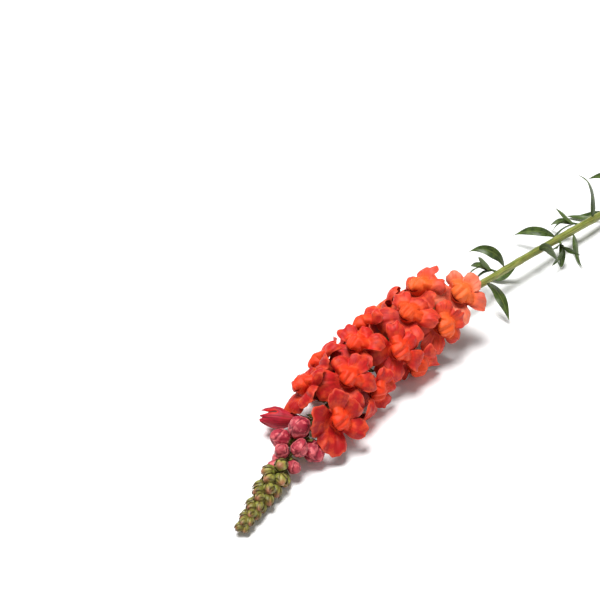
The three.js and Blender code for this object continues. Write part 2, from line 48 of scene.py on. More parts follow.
# ---- Driving dimensions, shared with the solids ----
STEM_LENGTH = 720
CUT_RADIUS = 4.3
NECK_RADIUS = 2.9
TIP_RADIUS = 0.9
HEADING_AT_CUT = -4.9
BEND = 20.5
BEND_FROM = 400
BEND_TO = 700
SPIKE_HEIGHT = 22
TIP_HEIGHT = 6.5
RISE_TO = 400
DROOP_FROM = 530

GOLDEN_ANGLE = 137.5
START_TURN = 45
PARTING = 0.69
SPIKE_FROM = 413
FLORETS = 18
FLORET_PITCH = 11.15
FLORET_LEAN = 30
PEDICEL = 5
STALK_LEAN = 15
ROOT_DEPTH = 0.4
FIRST_FLORET_SIZE = 1.16
LAST_FLORET_SIZE = 1
PETAL = 0.7
SEPAL = 7
OPENING = [0.14, 0.78]
SWAY = 7

BUDS = 8
BUD_PITCH = 5.4
FIRST_BUD_LENGTH = 23
LAST_BUD_LENGTH = 12
BUD_SHARE = 0.35
BUD_NOD = 0.08
BUD_SEPAL_SHARE = 0.36
BUD_WIDTH = 0.92
BUD_SWAY = 5
GREEN_BUDS = 11
GREEN_PITCH = 3.2
FIRST_GREEN_LENGTH = 13.5
LAST_GREEN_LENGTH = 12
TIP_BUDS = 18
FIRST_TIP_LENGTH = 11.5
LAST_TIP_LENGTH = 8
GREEN_SHARE = 0.38

LEAVES = 11
LEAF_FROM = 118
LEAF_TO = 372
FIRST_LEAF_TURN = 345
LEAF_SEAT = 0.95
SHOOTS = [
    dict(s=357, turn=-65, length=9, leaves=4, seed=1000),
    dict(s=272, turn=95, length=10, leaves=4, seed=1020),
    dict(s=236, turn=-80, length=8, leaves=4, seed=1040),
]
SEAT_GAP = 0.35
SPREADS = [1.16, 1.08, 1, 0.94, 0.88, 0.82, 0.76, 0.7, 0.62, 0.54, 0.46, 0.38]
DRAWS = range(9)
PRESS_DEPTH = 6
BLADE_CLEARANCE = 1.5

# ---- How far finer skins stay above the table ----
STALK_CLEARANCE = 0.02
TWIG_CLEARANCE = 0.3
SKIN_CLEARANCE = 0.25


# ---- Small mathematics ----
def mix(a, b, t):
    return a + (b - a) * t


def smooth(t):
    t = clip(t, 0, 1)
    return t * t * (3 - 2 * t)


def hill(x, width):
    """1 at x = 0, falling to nothing a few widths away."""
    return np.exp(-((x / width) ** 2))


def vec(*xyz):
    return np.array(xyz, float)


def unit(v):
    return v / maximum(np.linalg.norm(v, axis=-1, keepdims=True), 1e-9)


def turned(a, b, degrees):
    """The direction a, turned towards b."""
    angle = radians(degrees)
    return a * cos(angle) + b * sin(angle)


def chance(n):
    """A fixed draw between 0 and 1 for the whole number n."""
    x = math.sin(n * 12.9898 + 4.1) * 43758.5453
    return x - math.floor(x)


def jitter(n, size):
    return (2 * chance(n) - 1) * size


def press(points, floor):
    """Presses flat what would hang into the table: no lower than floor, with a soft bend above it."""
    depth = points[..., 2] - floor + PRESS_DEPTH
    flat = floor + maximum(depth, 0) ** 2 / (4 * PRESS_DEPTH)
    height = np.where(depth < 2 * PRESS_DEPTH, flat, points[..., 2])
    return concatenate([points[..., :2], height[..., None]], -1)


def through(points, t):
    """Points at the shares t of a smooth curve through evenly timed points."""
    last = len(points) - 1
    place = clip(np.asarray(t, float), 0, 1) * last
    i = np.minimum(place.astype(int), last - 1)
    x = (place - i).reshape((-1,) + (1,) * (points.ndim - 1))
    before, after = points[maximum(i - 1, 0)], points[np.minimum(i + 2, last)]
    a, b = points[i], points[i + 1]
    squared = 2 * before - 5 * a + 4 * b - after
    cubed = 3 * a - before - 3 * b + after
    return 0.5 * (2 * a + (b - before) * x + squared * x**2 + cubed * x**3)


def add(name, data):
    """A new object in the scene."""
    thing = bpy.data.objects.new(name, data)
    bpy.context.scene.collection.objects.link(thing)
    return thing


def ring_angles(count):
    return arange(count) / count * 2 * pi


def hoop(middle, side, up, radius, angle):
    """A ring of points round a middle."""
    around = side * cos(angle)[:, None] + up * sin(angle)[:, None]
    return middle + around * np.reshape(radius, (-1, 1))


def twig(middles, side, up, radii, columns):
    """Rings of points round the middles of a thin, round stalk."""
    rings = [hoop(p, side, up, r, ring_angles(columns)) for p, r in zip(middles, radii)]
    return press(stack(rings), TWIG_CLEARANCE)


# ---- The stem's centre line ----
def centre_line():
    s = arange(STEM_LENGTH + 1)
    heading = radians(HEADING_AT_CUT + BEND * smooth((s - BEND_FROM) / (BEND_TO - BEND_FROM)))
    steps = np.column_stack([cos(heading), sin(heading)])[:-1]
    flat = np.r_[[[0, 0]], np.cumsum(steps, 0)]
    rise = mix(CUT_RADIUS, SPIKE_HEIGHT, smooth(s / RISE_TO))
    droop = (SPIKE_HEIGHT - TIP_HEIGHT) * smooth((s - DROOP_FROM) / (STEM_LENGTH - DROOP_FROM))
    return np.column_stack([flat, rise - droop])


LINE = centre_line()


def corners_of(node):
    """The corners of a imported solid, in the row's frame, in millimetres."""
    return np.array([v.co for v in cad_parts[node].data.vertices]) / MM


STEM_CORNERS = corners_of("stem")
CUT_END = STEM_CORNERS[STEM_CORNERS[:, 0] < STEM_CORNERS[:, 0].min() + 2]
SHIFT = (CUT_END.min(0) + CUT_END.max(0)) / 2 - LINE[0]  # from the centre line's frame to the row's


def stem_radius(s):
    below = mix(CUT_RADIUS, NECK_RADIUS, s / SPIKE_FROM)
    above = mix(NECK_RADIUS, TIP_RADIUS, (s - SPIKE_FROM) / (STEM_LENGTH - SPIKE_FROM))
    return float(below if s < SPIKE_FROM else above)


def stem_at(s):
    """The point s along the stem, and the directions ahead, left and up."""
    i = min(int(s), STEM_LENGTH - 1)
    ahead = unit(LINE[i + 1] - LINE[i])
    left = unit(vec(-ahead[1], ahead[0], 0))
    return mix(LINE[i], LINE[i + 1], s - i), ahead, left, np.cross(ahead, left)


def branching(s, turn):
    """The point s along the stem, the directions ahead and out, and the radius there."""
    point, ahead, left, up = stem_at(s)
    return point, ahead, turned(up, left, turn), stem_radius(s)


def spiral_turn(n, parting):
    turn = (START_TURN + GOLDEN_ANGLE * n) % 360
    return (turn - 360 if turn > 180 else turn) * parting


class Perch:
    """Where an organ sits: its root in the stem, its seat at a flower stalk's end, and its directions."""

    def __init__(self, s, turn, lean, stalk, seed, sway):
        point, ahead, out, radius = branching(s, turn)
        self.grow = turned(out, ahead, lean + STALK_LEAN)
        self.root = point + out * radius * ROOT_DEPTH
        self.seat = self.root + self.grow * (stalk + radius * (1 - ROOT_DEPTH))
        aside = np.cross(ahead, out) * radians(jitter(seed + 50, sway))
        self.forward = unit(turned(out, ahead, lean + jitter(seed, sway)) + aside)
        side = unit(np.cross(ahead, self.forward))
        up = np.cross(self.forward, side)
        roll = jitter(seed + 90, sway)
        self.side = turned(side, up, roll)
        self.up = turned(up, side, -roll)

    def place(self, f, s=0, u=0, floor=PETAL / 2):
        """The points f forward of the seat, s to its side and u up."""
        f, s, u = np.broadcast_arrays(f, s, u)
        offset = f[..., None] * self.forward + s[..., None] * self.side + u[..., None] * self.up
        return press(self.seat + offset, floor)

    def ring(self, f, r, angle):
        """The points f forward of the seat and r from its axis."""
        return self.place(f, r * cos(angle), r * sin(angle))


# ---- Meshes ----
class Shape:
    """Points, faces and per-point values, gathered from several closed lofts."""

    def __init__(self):
        self.points, self.quads, self.triangles, self.values = [], [], [], {}
        self.count = 0

    def loft(self, rings, start, end, **values):
        """A closed skin over rings of points (rows, columns, 3), with a point at each end."""
        rows, columns = rings.shape[:2]
        at = self.count + 1 + arange(rows * columns).reshape(rows, columns)
        beside = np.roll(at, -1, 1)
        quads = stack([at[:-1], beside[:-1], beside[1:], at[1:]], -1).reshape(-1, 4)
        first, last = np.full(columns, self.count), np.full(columns, self.count + 1 + rows * columns)
        self.quads.append(quads)
        self.triangles.append(np.column_stack([first, beside[0], at[0]]))
        self.triangles.append(np.column_stack([at[-1], beside[-1], last]))
        self.points.append(np.r_[start[None], rings.reshape(-1, 3), end[None]])
        self.count += rows * columns + 2
        for name, value in values.items():
            value = np.broadcast_to(value, (rows, columns)).reshape(-1)
            ends = np.r_[value[:columns].mean(), value, value[-columns:].mean()]
            self.values.setdefault(name, []).append(ends)

    def build(self, name, material, slot, *nodes):
        """The finished piece, which stands for the nodes."""
        points = (concatenate(self.points) + SHIFT) * MM
        faces = [*concatenate(self.quads).tolist(), *concatenate(self.triangles).tolist()]
        mesh = bpy.data.meshes.new(name)
        mesh.from_pydata(points, [], faces)
        mesh.shade_smooth()
        for key, value in self.values.items():
            layer = mesh.attributes.new(key, "FLOAT", "POINT")
            layer.data.foreach_set("value", concatenate(value).astype(np.float32))
        mesh.materials.append(material)
        piece = add(name, mesh)
        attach(piece, "root")
        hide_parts(*nodes)
        return piece


# ---- The corolla of an open floret, as in the solids ----
LOBES = [
    {"from": 4, "to": 90, "length": 18, "dip": (0.2, 0.62)},
    {"from": 90, "to": 176, "length": 18, "dip": (0.62, 0.2)},
    {"from": 184, "to": 241, "length": 14.5, "dip": (0.25, 0.55)},
    {"from": 241, "to": 299, "length": 12.5, "dip": (0.6, 0.6)},
    {"from": 299, "to": 356, "length": 14.5, "dip": (0.55, 0.25)},
]
LOBE_ANGLES = [0, 20, 42, 64, 80, 90, 100, 116, 138, 160, 180, 200, 220, 241, 256, 270, 284, 299, 320, 340]
DOME_CORNERS = 2.6
DOME_RISE = 0.55
CORNER_REACH = 2

# What has two values runs from the upper to the lower half: f is forward of the seat, and r a radius.
FOOT = dict(f=(0.9, 0.9), r=(2.1, 2.3))
THROAT = dict(f=(18.5, 21), r=(7, 8.2))
GUM = dict(f=(20.6, 23.4), r=(5.8, 8.4))
CREST = dict(f=(23.2, 28.3), r=(5, 4.8), wide=1.35, up=0.3)
SLIT = dict(f=(24.6, 24.6), r=(0.5, 0.5), width=4.6, up=4)
MOUTH_ARCH = 1.5  # how far the mouth's ends hang below its middle
LIP_FOOT_ANGLE = dict(shut=12, open=(35, 58))
LIP_TIP_ANGLE = dict(shut=-62, open=(118, 150))
LIP_LENGTH = (18, 14.5)
LIP_CURL = 0.14
LIP_WAVE = 1.2
LIP_WAVES = 7

# ---- What is finer than the solids ----
LESS_BACK = (14, 22)  # how many degrees less than the solids' the fine lobes fall back
FILLED_CORNER = 13  # a corner's reach and a notch's depth where a bud's lobes hold together
FILLED_DIP = 0.9
LIP_ROWS = 20
TUBE_ROWS = 10
PALATE_ROWS = 26
LOBE_COLUMNS = 0.5  # columns for each degree of a lobe
THIN = 0.34  # a petal's edge
LOBE_MORE = 1.13  # the fine lobes' reach over the solids'
GAPE_DEPTH = 1.3  # of the groove between the lips of a floret that is still shut
FRILL = 1.15  # how far the edge is ruffled
HUMPS = 1.1  # the two humps of the palate, over the furrow between them
HUMP_PLACE = 0.48  # from the furrow to the palate's side
BROW = dict(f=(24.2, 29.4), r=(1.7, 2.4), width=6, up=3.1)  # the palate's front, below the mouth
LEDGE = dict(f=(25.8, 27.8), r=(0.6, 0.25), width=4.9, up=4.1)  # its rounded top, before the mouth


def lowness(angle):
    """0 in the upper lip, 1 in the lower."""
    return smooth((0.35 - sin(angle)) / 0.7)


def section(part, low):
    """How far forward a part of the corolla lies, and its radius."""
    return mix(*part["f"], low), mix(*part["r"], low)


def lobe_at(angle, fill=0):
    """Where each angle lies in its lobe, from -1 to 1, the lobe's reach there, and its number.

    fill, 0 to 1, closes the notches between the lobes, as in a bud.
    """
    degrees = np.degrees(angle) % 360
    across = np.zeros_like(degrees)
    reach = np.full_like(degrees, mix(CORNER_REACH, FILLED_CORNER, fill))
    number = np.full(degrees.shape, -1)
    for i, lobe in enumerate(LOBES):
        here = (degrees >= lobe["from"]) & (degrees <= lobe["to"]) & (number < 0)
        t = clip((degrees - lobe["from"]) / (lobe["to"] - lobe["from"]), 0, 1)
        dome = (1 - np.abs(2 * t - 1) ** DOME_CORNERS) ** DOME_RISE
        dip = mix(mix(*lobe["dip"], t), FILLED_DIP, fill)
        reach = np.where(here, lobe["length"] * mix(dip, 1, dome), reach)
        across = np.where(here, 2 * t - 1, across)
        number = np.where(here, i, number)
    return across, reach, number


def lip_profile(bloom, low, run, less_back):
    """Distance forward, radius and direction of a lip, run millimetres beyond the throat."""
    foot, tip = [
        radians(mix(part["shut"], mix(*part["open"], low), bloom["open"]))
        for part in (LIP_FOOT_ANGLE, LIP_TIP_ANGLE)
    ]
    tip = tip - radians(less_back * bloom["open"] * mix(*LESS_BACK, low))
    rate = (tip - foot) / mix(*LIP_LENGTH, low)
    here = foot + rate * run
    throat_f, throat_r = section(THROAT, low)
    f = throat_f + (sin(here) - sin(foot)) / rate
    return f, throat_r + (cos(foot) - cos(here)) / rate, here


def place_in(bloom, f, s, u, floor=PETAL / 2):
    """Points of a floret, given at the size it is drawn here."""
    size = bloom["size"]
    return bloom["perch"].place(f * size, s * size, u * size, floor)


def lip(bloom, angle, share, spread, off=0, fill=0, less_back=0, skin=0):
    """Points off millimetres in front of a lip's middle, share of the way from the throat to the edge.

    skin is how far this face lies in front of the middle: pressed to the table, two faces stay apart.
    """
    low = lowness(angle)
    across, reach, _ = lobe_at(angle, fill)
    run = share * reach * spread
    f, r, here = lip_profile(bloom, low, run, less_back)
    f = f - LIP_CURL * across**2 * run + LIP_WAVE * share**2 * sin(LIP_WAVES * angle + bloom["phase"])
    f = f + off * sin(here)
    r = r - off * cos(here)
    perch = bloom["perch"]
    around = cos(angle) * perch.side[2] + sin(angle) * perch.up[2]
    facing_up = sin(here) * perch.forward[2] - cos(here) * around
    floor = PETAL / 2 + skin * clip(4 * facing_up, -1, 1)
    return place_in(bloom, f, r * cos(angle), r * sin(angle), floor)


def as_packed(bloom, perches, node):
    """The solid floret's perch and spread: those that put the lobes' edge on its corners."""
    corners = corners_of(node) - SHIFT
    angles = radians(LOBE_ANGLES)

    def miss(option):
        edge = lip({**bloom, "perch": option[0]}, angles, np.ones_like(angles), option[1])
        return np.linalg.norm(edge[:, None] - corners[None], axis=-1).min(1).mean()

    options = [(perch, spread) for perch in perches for spread in SPREADS]
    return min(options, key=miss)


def lobe_columns():
    """Angles round the mouth, closer than the solids', with one at each end of every lobe."""
    bounds = sorted({lobe[end] for lobe in LOBES for end in ("from", "to")})
    bounds.append(bounds[0] + 360)
    angles = []
    for a, b in zip(bounds, bounds[1:]):
        angles.extend(linspace(a, b, max(3, round((b - a) * LOBE_COLUMNS)), endpoint=False))
    return radians(angles)


def frill(bloom, angle, across, number, share):
    """How far ruffles, folds and curls lift a petal from the plain lip."""
    low, phase = lowness(angle), bloom["phase"]
    edge = smooth((share - 0.3) / 0.7) ** 1.5
    loose = 0.55 + 0.45 * sin(3 * angle + 2 * phase)
    folds = 0.6 - 1.6 * np.abs(sin(5.5 * angle + 1.5 * phase)) ** 0.8
    waves = folds + 0.5 * sin(19 * angle + 5 * phase + 2.5 * share)
    ruffle = FRILL * edge * loose * waves
    ridge = across - 0.25 * sin(phase + number)
    crease = -1.1 * hill(ridge, 0.12) * smooth(share * 1.5) * mix(1, 0.25, low)
    cupped = 0.6 + 0.8 * sin(1.9 * number + 3 * phase)
    belly = cupped * (1 - across**2) * sin(pi * clip(share, 0, 1))
    lean = 2.2 * share**2 * sin(2.4 * number + 2 * phase)
    roll = -1.9 * smooth((share - 0.66) / 0.34) ** 2 * (0.5 + 0.5 * sin(4 * angle + phase))
    keel = -(1 + 2.4 * sin(2.9 * number + 5 * phase)) * np.abs(across) ** 1.3 * smooth(share * 1.2)
    below_palate = mix(1, smooth((share - 0.2) / 0.4), low)
    return (ruffle + crease + lean + roll + (belly + keel) * below_palate) * mix(0.1, 1, bloom["open"])


def gape_at(bloom, angle):
    """How far each angle lies in the groove between two shut lips, 0 to 1."""
    return (1 - bloom["open"]) * hill(sin(angle), 0.3)


def petal_sheet(bloom, angle, share, side):
    """One face of the lobes, at shares of the way to their edge: side is -1 at the back and 1 in front."""
    across, _, number = lobe_at(angle)
    phase = bloom["phase"]
    less_back = 0.6 + 0.4 * sin(1.7 * number + 4 * phase)
    corner = 0.13 * (hill(across - 0.55 * sin(2.1 * number + 3 * phase), 0.27) - 0.35)
    nicks = 0.035 * sin(13 * angle + phase) + 0.025 * sin(29 * angle + 2 * phase)
    ragged = LOBE_MORE + bloom["open"] * (corner + nicks)
    share = share[:, None]
    skin = side * mix(PETAL, THIN, smooth(share * 1.5)) / 2
    groove = GAPE_DEPTH * gape_at(bloom, angle) ** 3 * smooth(share * 3)
    off = frill(bloom, angle, across, number, share) + skin + groove
    return lip(bloom, angle, share * ragged, bloom["spread"], off, 1 - bloom["open"], less_back, skin)


def tube_rings(bloom, angle):
    """The ribbed tube, from its foot up to the throat."""
    low = lowness(angle)
    foot_f, foot_r = section(FOOT, low)
    throat_f, throat_r = section(THROAT, low)
    t = linspace(0, 1, TUBE_ROWS, endpoint=False)[:, None]
    ribs = 1 + 0.035 * sin(pi * t) * cos(5 * angle)
    waist = 0.25 * sin(2 * pi * t)
    r = mix(foot_r, throat_r, t) * ribs - waist
    return place_in(bloom, mix(foot_f, throat_f, t), r * cos(angle), r * sin(angle))


def palate_rings(bloom, angle, edge, shares):
    """The palate, at shares of the way from edge, the lobes' front, over its crest to the mouth."""
    low, phase = lowness(angle), bloom["phase"]
    beside = np.abs(cos(angle))
    puff = low * (HUMPS * hill(beside - HUMP_PLACE, 0.34) - 2.4 * beside**3 - 0.45 * hill(beside, 0.22))
    wrinkle = 0.06 * low * (sin(9 * angle + phase) + 0.5 * sin(22 * angle + 2 * phase))
    arch = MOUTH_ARCH * (0.4 - cos(angle) ** 2)

    def band(f, r, wide=1, up=0):
        return place_in(bloom, f, r * wide * cos(angle), up + r * sin(angle))

    def shelf(part, rise):
        f, r = section(part, low)
        return place_in(bloom, f + rise, part["width"] * cos(angle), part["up"] + r * sin(angle) + arch)

    gum_f, gum_r = section(GUM, low)
    crest_f, crest_r = section(CREST, low)
    shoulder_f = mix(gum_f, crest_f, 0.62) + 1.4 * low + wrinkle + 0.5 * puff
    shoulder = band(shoulder_f, mix(gum_r, crest_r, 0.4) + 0.5 * low, 1.12, 0.15)
    rows = stack([
        edge,
        mix(band(gum_f, gum_r), mix(edge, shoulder, 0.5), low[:, None]),
        shoulder,
        band(crest_f + 0.5 * low + puff + 0.5 * wrinkle, crest_r, CREST["wide"], CREST["up"]),
        shelf(BROW, puff),
        shelf(LEDGE, 0.9 * puff),
        shelf(SLIT, 0),
    ])
    return through(rows, shares)


def corolla(bloom, shape):
    """One skin: up the tube and the back of the lobes, down their front and into the mouth."""
    angle = lobe_columns()
    low = lowness(angle)
    shares = linspace(0, 1, LIP_ROWS)
    front_shares = shares[::-1][: -LIP_ROWS // 4]
    palate_shares = linspace(0, 1, PALATE_ROWS)[1:]
    tube = tube_rings(bloom, angle)
    back = petal_sheet(bloom, angle, shares, -1)
    front = petal_sheet(bloom, angle, front_shares, 1)
    palate = palate_rings(bloom, angle, front[-1], palate_shares)

    rings = np.r_[tube, back, front, palate]
    row = arange(len(rings))[:, None]
    in_tube = clip(1 - row / TUBE_ROWS, 0, 1)
    is_front = row >= TUBE_ROWS + LIP_ROWS
    share = np.r_[np.zeros(TUBE_ROWS), shares, front_shares, 0 * palate_shares][:, None]
    on_palate = np.r_[np.zeros(len(rings) - len(palate)), palate_shares][:, None]
    lower_front = smooth((0.72 - share) / 0.55) * low * is_front
    shape.loft(
        rings,
        bloom["perch"].place(SEAT_GAP),
        place_in(bloom, SLIT["f"][0] - 1, 0, SLIT["up"]),
        # tube, share and front also place painted shade: on the tube, and towards the throat.
        share=share, tube=in_tube, front=is_front,
        palate=maximum(lower_front * 0.75, smooth(on_palate / 0.25) * mix(0.55, 1, low)),
        mouth=smooth((on_palate - 0.82) / 0.12),
        vein=angle * 6, age=bloom["age"], seed=bloom["phase"], shut=1 - bloom["open"],
        # gape also places the painted shadow deep in the groove of shut lips.
        gape=smooth((share - 0.12) / 0.3) * gape_at(bloom, angle),
        lobe=2.0 * lobe_at(angle)[2],
    )


def make_blooms():
    blooms = []
    for k in range(FLORETS):
        s = SPIKE_FROM + FLORET_PITCH * k
        turn = spiral_turn(k, PARTING)
        from_last = FLORETS - 1 - k
        bloom = dict(
            s=s, turn=turn,
            size=mix(FIRST_FLORET_SIZE, LAST_FLORET_SIZE, k / (FLORETS - 1)) * (1 + jitter(k + 300, 0.03)),
            open=OPENING[from_last] if from_last < len(OPENING) else 1,
            phase=2 * pi * chance(k + 400), age=1 - k / (FLORETS - 1),
        )
        perches = [Perch(s, turn, FLORET_LEAN, PEDICEL, 13 * k + 1 + draw, SWAY) for draw in DRAWS]
        bloom["perch"], bloom["spread"] = as_packed(bloom, perches, f"floret_{k + 1:02d}")
        blooms.append(bloom)
    return blooms


# ---- Pink buds ----
def bud_swell(t):
    return sin(pi * clip(t, 0, 1) ** 1.1) ** 0.6


def make_buds():
    start = SPIKE_FROM + FLORET_PITCH * FLORETS
    buds = []
    for k in range(BUDS):
        t = k / (BUDS - 1)
        s = start + BUD_PITCH * k * (1 - 0.12 * t)
        turn = spiral_turn(FLORETS + k, mix(PARTING, 0.8, t))
        buds.append(dict(
            s=s, turn=turn,
            perch=Perch(s, turn, mix(36, 46, t), mix(PEDICEL, 3, t), 11 * k + 500, BUD_SWAY),
            length=mix(FIRST_BUD_LENGTH, LAST_BUD_LENGTH, t),
            phase=2 * pi * chance(k + 600), young=t,
        ))
    return buds


def pink_bud(bud, shape):
    """An egg of folded petals: the upper lip's hood laps over the lower lip, with a seam along it."""
    length, phase, perch = bud["length"], bud["phase"], bud["perch"]
    angle = ring_angles(104)
    t = (1 - cos(pi * linspace(0.06, 0.97, 56)))[:, None] / 2
    wobble = 0.035 * sin(5 * angle + phase) + 0.02 * sin(9 * angle + 2 * phase)
    hem = 0.56 + 0.34 * smooth((sin(angle + 0.3 * sin(phase)) + 0.35) / 1.3) + wobble
    lap = smooth((hem - t) / 0.06)
    rim = hill(hem - 0.05 - t, 0.07)
    middle = pi / 2 + 0.25 * sin(3 * t + phase)
    seam = hill((angle - middle + pi) % (2 * pi) - pi, 0.13) * smooth((t - 0.32) / 0.2) * lap
    below = hill((angle - middle) % (2 * pi) - pi, 0.16) * smooth((t - 0.3) / 0.3) * (1 - lap)
    pleats = 0.02 * sin(13 * angle + 2 * phase + 2 * t) * smooth((t - 0.25) / 0.4)
    dents = 0.045 * sin(4 * angle + phase + 5 * t) + 0.04 * sin(2 * angle + 3 * phase)
    blunt = 0.13 * smooth((t - 0.55) / 0.3)
    swell = 1.02 + 0.1 * t * cos(3 * angle + phase) + 0.085 * lap + 0.03 * rim
    swell = swell + pleats + dents * sin(pi * t) + blunt
    r = length * BUD_SHARE * bud_swell(t) * (swell - 0.1 * seam - 0.06 * below)
    nod = BUD_NOD * length * t * t
    shape.loft(
        perch.place(SEAT_GAP + length * t, r * cos(angle) * BUD_WIDTH, r * sin(angle) - nod),
        perch.place(SEAT_GAP),
        perch.place(SEAT_GAP + length * 0.99, 0, -BUD_NOD * length),
        along=t,
        # rim places the painted highlight along the lap's edge.
        rim=rim,
        # fold places the painted shade in the seams and just under the lap.
        fold=clip(seam + below + (1 - lap) * hill(t - hem - 0.02, 0.05), 0, 1),
        young=bud["young"],
        vein=angle * 6,
        seed=phase,
    )


# ---- Calyces and flower stalks ----
CALYX_FROM = 0.9  # where a calyx starts to follow what it holds, forward of the seat
CALYX_BASE = (-2.5, -2.3)  # the middle and the first ring of its rounded foot
CALYX_GAP = 0.12


def tube_foot(size):
    """The radius of an open floret's tube, for places forward of its seat."""
    near_f, near_r = section(FOOT, 1)
    far_f, far_r = section(THROAT, 1)
    return lambda f: size * mix(near_r, far_r, (f / size - near_f) / (far_f - near_f))


def bud_foot(length):
    return lambda f: length * BUD_SHARE * bud_swell(clip(f / length, 0.02, 0.6)) * 1.06


def calyx(perch, length, foot, young, seed, shape):
    """A cup of five pointed sepals, ribbed and thin-rimmed, that hugs the foot of a corolla or bud."""
    angle = ring_angles(90)
    x = 2 * ((angle / (2 * pi) * 5 + 0.5) % 1) - 1
    v = linspace(0.04, 1, 12)[:, None]
    f = length * (0.34 + 0.72 * (1 - np.abs(x) ** 1.25)) * v
    rib = 0.16 * hill(x, 0.25) * (1 - v)
    curl = 0.5 * v**3 * (0.5 + 0.5 * sin(seed)) - 0.12 * np.abs(x) * v
    inner = foot(maximum(f, CALYX_FROM)) + CALYX_GAP + curl
    outer = inner + mix(0.55, 0.22, v) + rib
    base_t = linspace(0.12, 0.95, 5)[:, None]
    base = (foot(CALYX_FROM) + 0.8) * np.sqrt(1 - (1 - base_t) ** 2)
    rings = concatenate([
        perch.ring(mix(CALYX_BASE[1], 0, base_t), base, angle),
        perch.ring(f, outer, angle),
        perch.ring(f[::-1], inner[::-1], angle),
    ])
    upward = np.r_[0 * base_t, v, v[::-1]]
    shape.loft(
        rings, perch.place(CALYX_BASE[0]), perch.place(0.2),
        along=upward, centre=np.abs(x), young=young, seed=seed,
    )


def flower_stalk(perch, radius, end, young, shape):
    """A round stalk, thinner in its middle, that ends end millimetres beyond the seat."""
    side = unit(np.cross(perch.grow, vec(0, 0, 1)))
    up = np.cross(perch.grow, side)
    t = linspace(0, 1, 9)
    bends = stack([perch.root, mix(perch.root, perch.seat, 0.55), perch.seat + perch.forward * end])
    middles = through(bends, t)
    radii = radius * (1.1 - 0.25 * sin(pi * t))
    shape.loft(
        twig(middles, side, up, radii, 14), middles[0], middles[-1],
        along=0.2, centre=0.3, young=young, seed=0.0,
    )


# ---- Blades: bracts, sepals and leaves ----
BLADE_RIM = 0.16  # the thickness of a blade's edge


def leaf_outline(t):
    return maximum(0.1, 0.2 * (1 - t) ** 3 + sin(pi * clip(t, 0, 1) ** 0.8) ** 1.1)


def bract_outline(t):
    return maximum(0.12, sin(pi * (0.22 + 0.76 * t)))


class Blade:
    """A narrow blade that leaves a point in one direction and bends towards another."""

    def __init__(self, start, towards, bend_to, bend, face, length, width, steps, outline, fold=0, twist=0):
        self.width, self.outline, self.fold = width, outline, fold
        points, normals = [start], []
        direction = unit(towards)
        for i in range(steps + 1):
            flat = unit(face - direction * face.dot(direction))
            normals.append(turned(flat, np.cross(direction, flat), twist * (i / steps)))
            if i < steps:
                points.append(points[i] + direction * (length / steps))
                direction = unit(direction + bend_to * (bend / steps))
        self.points, self.normals = np.array(points), np.array(normals)

    def tip(self):
        last, before = press(self.points[[-1, -2]], BLADE_CLEARANCE)
        return mix(last, before, -0.08)

    def skin(self, shape, rows, thickness, wave, rib=0.3, root=None, phase=0.0, **values):
        """The blade's fine skin: a rib below, a groove above and thin waved rims."""
        t = linspace(0, 1, rows)
        middle = through(self.points, t)
        normal = unit(through(self.normals, t))
        ahead = unit(np.gradient(middle, axis=0))
        across = unit(np.cross(normal, ahead))[:, None]
        rise = np.cross(ahead[:, None], across)
        half = (self.width * self.outline(t) * (1 - smooth((t - 0.93) / 0.07) * 0.75))[:, None]
        t = t[:, None]
        c = sin(linspace(-1, 1, 11) * pi / 2)
        waved = wave * sin(9 * t + phase + 1.5 * np.sign(c)) * c**2 * sin(pi * t)
        lift = self.fold * half * np.abs(c) ** 1.5 + waved
        sheet = middle[:, None] + across * (c * half)[..., None] + rise * lift[..., None]
        sheet = press(sheet, BLADE_CLEARANCE)
        thick = (thickness * (1 - c**2) + BLADE_RIM) * mix(1, 0.6, t)
        groove = -0.35 * rib * hill(c, 0.12)
        ridge = rib * hill(c, 0.16) * (1 - 0.7 * t)
        top = sheet + rise * (thick / 2 + groove)[..., None]
        under = sheet - rise * (thick / 2 + ridge)[..., None]
        rings = concatenate([top[:, ::-1], under], 1)
        start = self.points[0]
        if root is not None:
            rings = np.r_[(rings[0] + (root - start))[None], rings]
            start, t = root, np.r_[[[0]], t]
        shape.loft(
            press(rings, SKIN_CLEARANCE), start, self.tip(),
            along=t, under=np.repeat([0, 1], len(c)), centre=np.abs(np.r_[c[::-1], c]), **values,
        )


GREEN_CORNERS = STEM_CORNERS - SHIFT
FOUND = 0.6  # how near a corner of the solid a tip lies if the solid has it


def as_built(options, tip_of):
    """The option that the stem's solid was grown with, known by its tip, or None if it was left out."""
    misses = [np.linalg.norm(GREEN_CORNERS - tip_of(option), axis=1).min() for option in options]
    best = int(np.argmin(misses))
    return options[best] if misses[best] < FOUND else None


def add_bract(s, turn, length, width, lean, young, shape):
    point, ahead, out, radius = branching(s, turn)

    def bract(back):
        return Blade(
            start=point + out * radius * 0.5,
            towards=turned(out, ahead, lean - back),
            bend_to=out - ahead * 0.6, bend=0.6, face=ahead,
            length=length, width=width, steps=2, outline=bract_outline,
        )

    blade = as_built([bract(back) for back in (0, 15, 30, 45)], Blade.tip)
    if blade is not None:
        blade.fold = 0.35
        blade.skin(shape, 12, 0.35, wave=0.35, rib=0.25, phase=s, young=young, seed=s % 7)


